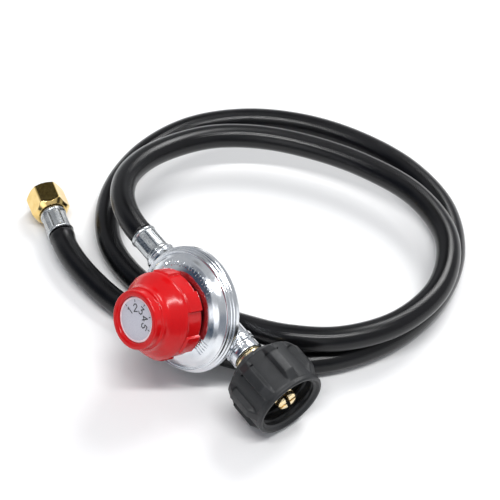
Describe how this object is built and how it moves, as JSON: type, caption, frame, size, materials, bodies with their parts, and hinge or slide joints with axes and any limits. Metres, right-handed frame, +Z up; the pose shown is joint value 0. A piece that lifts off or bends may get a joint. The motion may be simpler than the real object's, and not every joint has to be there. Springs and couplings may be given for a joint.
{
  "type": "propane regulator hose",
  "caption": "Adjustable propane regulator with a red knob, a hand-wheel cylinder coupling nut and a looped black hose ending in a brass flare nut.",
  "frame": {"origin": "on the table, under the middle of the regulator's own box (everything but the hose and the fitting on its far end)", "axes": "+X level, along the cylinder coupling's axis as seen from above, out of its mouth; -Y towards the knob; +Z up from the table"},
  "size_m": [0.2171, 0.2264, 0.0694],
  "materials": {
    "zinc": "bright plated zinc casting",
    "steel": "satin",
    "brass": "bright turned",
    "red_plastic": "glossy moulded",
    "label": "satin film with a plain dial scale",
    "black_plastic": "fine moulded grain",
    "amber_plastic": "moulded",
    "rubber": "smooth",
    "hose_rubber": "glossy cover with a faint textile print",
    "sintered_bronze": "porous sintered"
  },
  "bodies": {
    "regulator": {"lower_body": "zinc", "bonnet": "zinc", "vent_screen": "steel", "main_spring": "steel", "diaphragm": "rubber", "lever_pin": "steel", "inlet_orifice": "brass", "inlet_filter": "sintered_bronze", "inlet_nipple": "brass", "flow_spring": "steel", "probe_tip": "brass", "thermal_bushing": "amber_plastic", "outlet_barb": "brass", "outlet_ferrule": "zinc", "hose": "hose_rubber", "flare_ferrule": "zinc", "flare_stem": "brass"},
    "spring_seat": {"spring_button": "steel"},
    "knob": {"adjust_knob": "red_plastic", "knob_label": "label", "adjust_screw": "zinc"},
    "diaphragm_centre": {"diaphragm_plate": "steel", "diaphragm_stem": "brass"},
    "lever": {"lever": "steel"},
    "valve": {"valve_stem": "brass", "seat_disc": "rubber"},
    "flow_check": {"flow_ball": "steel"},
    "coupling": {"coupling_nut": "black_plastic"},
    "flare_coupling": {"flare_nut": "brass"}
  },
  "joints": [
    {"name": "screw_travel", "type": "slide", "parent": "regulator", "child": "spring_seat", "axis": [-0.0582, 0.8788, -0.4736], "range_m": [0, 0.00249], "deforming": ["main_spring"]},
    {"name": "knob_turn", "type": "hinge", "parent": "spring_seat", "child": "knob", "pos_m": [-0.00757, -0.01925, 0.04999], "axis": [-0.0582, 0.8788, -0.4736], "range_deg": [0, 900]},
    {"name": "diaphragm_stroke", "type": "slide", "parent": "regulator", "child": "diaphragm_centre", "axis": [-0.0582, 0.8788, -0.4736], "range_m": [0, 0.001], "stiffness_N_per_m": 2000, "deforming": ["diaphragm"]},
    {"name": "lever_swing", "type": "hinge", "parent": "regulator", "child": "lever", "pos_m": [-0.00219, 0.01942, 0.02818], "axis": [-0.1071, -0.4772, -0.8723], "range_deg": [0, 7.3]},
    {"name": "valve_stroke", "type": "slide", "parent": "regulator", "child": "valve", "axis": [-0.9925, 0, 0.1219], "range_m": [0, 0.00051]},
    {"name": "flow_check_travel", "type": "slide", "parent": "regulator", "child": "flow_check", "axis": [-0.9925, 0, 0.1219], "range_m": [0, 0.0012], "stiffness_N_per_m": 100},
    {"name": "coupling_nut_spin", "type": "hinge", "parent": "regulator", "child": "coupling", "pos_m": [0.04767, 0.0159, 0.02398], "axis": [0.9925, 0, -0.1219], "continuous": true},
    {"name": "flare_nut_spin", "type": "hinge", "parent": "regulator", "child": "flare_coupling", "pos_m": [-0.13895, 0.00132, 0.0096], "axis": [-0.9563, 0.2924, 0], "continuous": true}
  ],
  "couplings": [
    {"joint": "knob_turn", "follows": "screw_travel", "rad_per_m": 6283.2},
    {"joint": "lever_swing", "follows": "diaphragm_stroke", "rad_per_m": 125},
    {"joint": "valve_stroke", "follows": "diaphragm_stroke", "ratio": 0.5}
  ]
}
